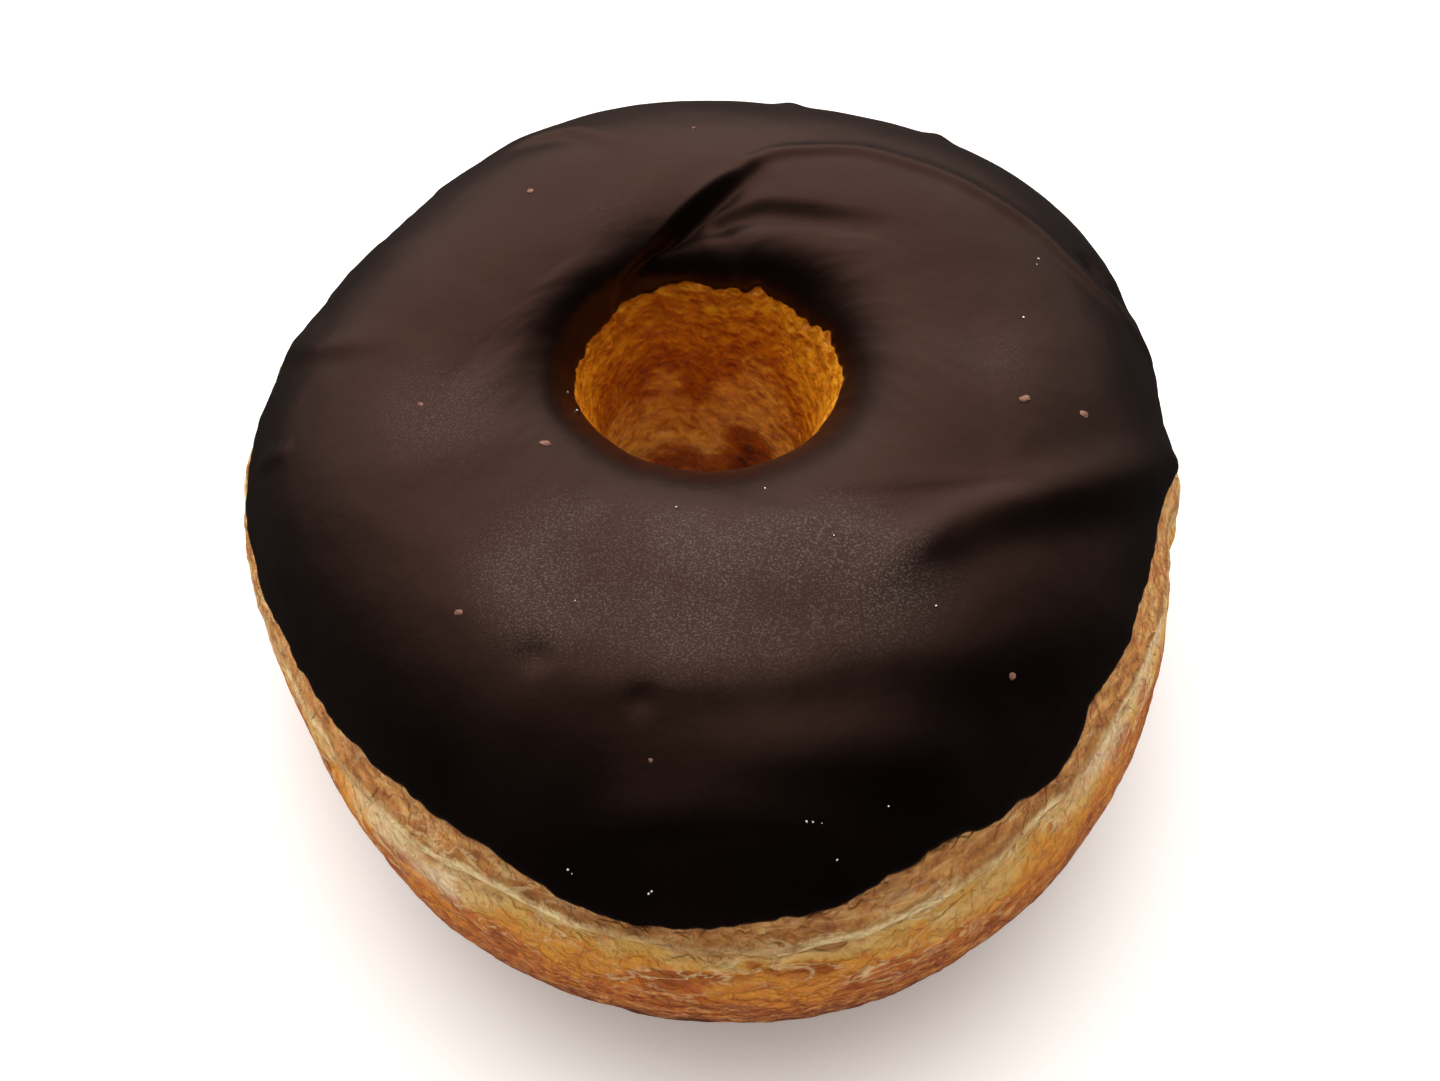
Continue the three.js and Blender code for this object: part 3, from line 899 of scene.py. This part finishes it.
# Crumbs and specks on the icing: angle round the ring and section's angle, in degrees, and width.
SUGAR_CRUMBS = (
    (280.2, 50.3, 0.28), (280.9, 49.9, 0.2), (281.9, 49.2, 0.12), (283, 40.5, 0.22), (263, 33, 0.26),
    (263.3, 33.7, 0.22), (254, 33.5, 0.24), (254.5, 32.8, 0.14), (289.8, 48, 0.2), (309.8, 81, 0.24),
    (299.2, 105.8, 0.16), (260.2, 118.5, 0.2), (287.8, 122, 0.22), (23, 75.5, 0.24), (34.5, 61.8, 0.2),
    (33.5, 63.5, 0.14), (183.5, 132.5, 0.2), (194.2, 133.8, 0.22), (240.8, 94, 0.14),
)
DOUGH_SPECKS = (
    (2.2, 82, 1.3), (0.5, 65.2, 1.0), (207.8, 117.5, 1.1), (224, 74.5, 0.9), (172.5, 84.2, 0.6),
    (119.8, 65.2, 0.8), (312, 56.8, 0.8), (261.5, 63, 0.5), (93.2, 59.3, 0.5),
)
CRUMB_HEIGHT = 0.7  # as a share of its width
SPECK_HEIGHT = 0.3
CRUMB_SINK = 0.12  # share of its width that a crumb sits in the icing
CRUMB_NARROWING = (0.6, 0.9)  # least and most
CRUMB_ROUGHNESS = (0.8, 1.1)
CRUMB_SEED = 7


def crumbs(name, places, flatness, material):
    """Small rough grains that lie on the icing, joined into one mesh."""
    chance = random.Random(CRUMB_SEED)
    angles = np.radians([place[:2] for place in places])
    around, section = angles[:, 0], angles[:, 1]
    points, normals = skin(around, section)
    lift = ICING_THICKNESS + swelling(around, section) + crown_relief(points, normals, section)
    points += lift[:, None] * normals
    form = bmesh.new()
    for point, normal, (_, _, width) in zip(points, normals, places):
        turned = Vector(normal).to_track_quat("Z", "Y").to_matrix().to_4x4()
        turned = turned @ Matrix.Rotation(chance.uniform(0, FULL_TURN), 4, "Z")
        place = point + normal * width * (0.5 * flatness - CRUMB_SINK)
        middle = Vector((place + RING_MIDDLE) * MILLIMETRE)
        stretch = Matrix.Diagonal((1, chance.uniform(*CRUMB_NARROWING), flatness, 1))
        grain = bmesh.ops.create_icosphere(
            form, subdivisions=2, radius=width / 2 * MILLIMETRE,
            matrix=Matrix.Translation(middle) @ turned @ stretch,
        )
        for vertex in grain["verts"]:
            vertex.co = middle + (vertex.co - middle) * chance.uniform(*CRUMB_ROUGHNESS)
    mesh = bpy.data.meshes.new(name)
    form.to_mesh(mesh)
    form.free()
    return finish_piece(link(name, mesh), material)


def sugar_material():
    """White sugar crystals spilt on the icing, bright and a little glossy."""
    material, tree = new_material("sugar_crystals")
    shader = add(tree, "BsdfPrincipled", {"Base Color": "#fbf6ee", "Roughness": 0.35, "IOR": 1.54})
    add(tree, "OutputMaterial", links={"Surface": shader})
    return material


def speck_material():
    """Bits of dough that stuck in the icing as it set, pinkish brown and dull."""
    material, tree = new_material("dough_specks")
    mottled = patches(tree, add(tree, "TexCoord", output="Object"), 0.5 * MILLIMETRE, 2)
    colour = add(tree, "ValToRGB", {"stops": ((0.35, "#6a4030"), (0.65, "#8e6650"))}, {"Fac": mottled})
    shader = add(tree, "BsdfPrincipled", {"Roughness": 0.6, "IOR": 1.45}, {"Base Color": colour})
    add(tree, "OutputMaterial", links={"Surface": shader})
    return material


crumbs("sugar_crumbs", SUGAR_CRUMBS, CRUMB_HEIGHT, sugar_material())
crumbs("dough_specks", DOUGH_SPECKS, SPECK_HEIGHT, speck_material())


# The studio's light comes from all round, as lobes that are strongest from one direction.
WINDOW_LIGHT = dict(towards=(-0.28, 0.6, 0.77), power=4.5, strength=1)
LOW_LIGHT = dict(towards=(0, 1, 0), power=2, strength=1.05)
BROAD_LIGHT = dict(towards=(-0.12, 0.68, 0.62), power=1.3, strength=3.4)
BACKDROP_LIGHT = 0.95
FLOOR_GLOW = 0.3
FLOOR_REACH = 4  # metres

# The camera looks from the photograph's viewing angle.
CAMERA_ELEVATION = math.radians(54)  # above the table
CAMERA_DISTANCE = 360
CAMERA_LENS = 92.56
CAMERA_SENSOR = 36
AIM_HEIGHT = 20.45  # above the table, over the middle of the ring
SHIFT_RIGHT = 0.43  # of the camera, past what it aims at
SHIFT_DOWN = 1.32


def floor_material():
    """White opal acrylic of a light table, matt, glowing softly from below. Glossy faces see it dark
    and without its glow."""
    material, tree = new_material("opal_acrylic_table")
    glossy = add(tree, "LightPath", output="Is Glossy Ray")
    glow = add(tree, "Mix", {"data_type": "FLOAT", "A": FLOOR_GLOW, "B": 0}, {"Factor": glossy})
    colour = paint(tree, "#f3f2f1", (glossy, "#2c2b2a"))
    shader = add(
        tree, "BsdfPrincipled",
        {"Roughness": 0.9, "Specular IOR Level": 0.1, "Emission Color": "#fff2ea"},
        {"Base Color": colour, "Emission Strength": glow},
    )
    add(tree, "OutputMaterial", links={"Surface": shader})
    return material


def lobe(tree, direction, towards, power, strength):
    """Light that is strongest from one direction and fades all round it."""
    towards = Vector(towards).normalized()
    facing = add(tree, "VectorMath", {"operation": "DOT_PRODUCT", 1: towards}, {0: direction})
    lit = add(tree, "Math", {"operation": "MAXIMUM", 1: 0}, {0: facing})
    soft = add(tree, "Math", {"operation": "POWER", 1: power}, {0: lit})
    return add(tree, "Math", {"operation": "MULTIPLY", 1: strength}, {0: soft})


def studio():
    """The table, and the light round it."""
    form = bmesh.new()
    bmesh.ops.create_grid(form, x_segments=1, y_segments=1, size=FLOOR_REACH)
    mesh = bpy.data.meshes.new("floor")
    form.to_mesh(mesh)
    form.free()
    floor = link("floor", mesh)
    mesh.materials.append(floor_material())

    # Soft light that comes mostly from behind, a little from the left, and hardly from the front.
    # Glossy faces see a window high up there and a low glow below it, and all else the broad light.
    world = bpy.data.worlds.new("studio")
    bpy.context.scene.world = world
    world.use_nodes = True
    tree = world.node_tree
    tree.nodes.clear()
    direction = add(tree, "TexCoord", output="Generated")
    glossy = add(tree, "LightPath", output="Is Glossy Ray")
    direct = add(tree, "LightPath", output="Is Camera Ray")
    gloss = add(
        tree, "Math", {"operation": "ADD"},
        {0: lobe(tree, direction, **WINDOW_LIGHT), 1: lobe(tree, direction, **LOW_LIGHT)},
    )
    seen = add(
        tree, "Mix", {"data_type": "FLOAT"},
        {"Factor": glossy, "A": lobe(tree, direction, **BROAD_LIGHT), "B": gloss},
    )
    strength = add(
        tree, "Mix", {"data_type": "FLOAT", "B": BACKDROP_LIGHT}, {"Factor": direct, "A": seen},
    )
    colour = paint(tree, "#fffdfb", (glossy, "#ffd8c8"))
    background = add(tree, "Background", links={"Color": colour, "Strength": strength})
    add(tree, "OutputWorld", links={"Surface": background})


def camera():
    forward = Vector((0, math.cos(CAMERA_ELEVATION), -math.sin(CAMERA_ELEVATION)))
    up = Vector((0, math.sin(CAMERA_ELEVATION), math.cos(CAMERA_ELEVATION)))
    aim = Vector(RING_MIDDLE + (0, 0, AIM_HEIGHT)) * MILLIMETRE
    shift = (Vector((SHIFT_RIGHT, 0, 0)) - up * SHIFT_DOWN) * MILLIMETRE
    view = bpy.data.cameras.new("camera")
    view.lens = CAMERA_LENS
    view.sensor_width = CAMERA_SENSOR
    eye = bpy.data.objects.new("camera", view)
    eye.location = aim - forward * CAMERA_DISTANCE * MILLIMETRE + shift
    eye.rotation_euler = (math.pi / 2 - CAMERA_ELEVATION, 0, 0)
    bpy.context.collection.objects.link(eye)
    bpy.context.scene.camera = eye


studio()
camera()
bpy.context.scene.view_settings.view_transform = "Standard"
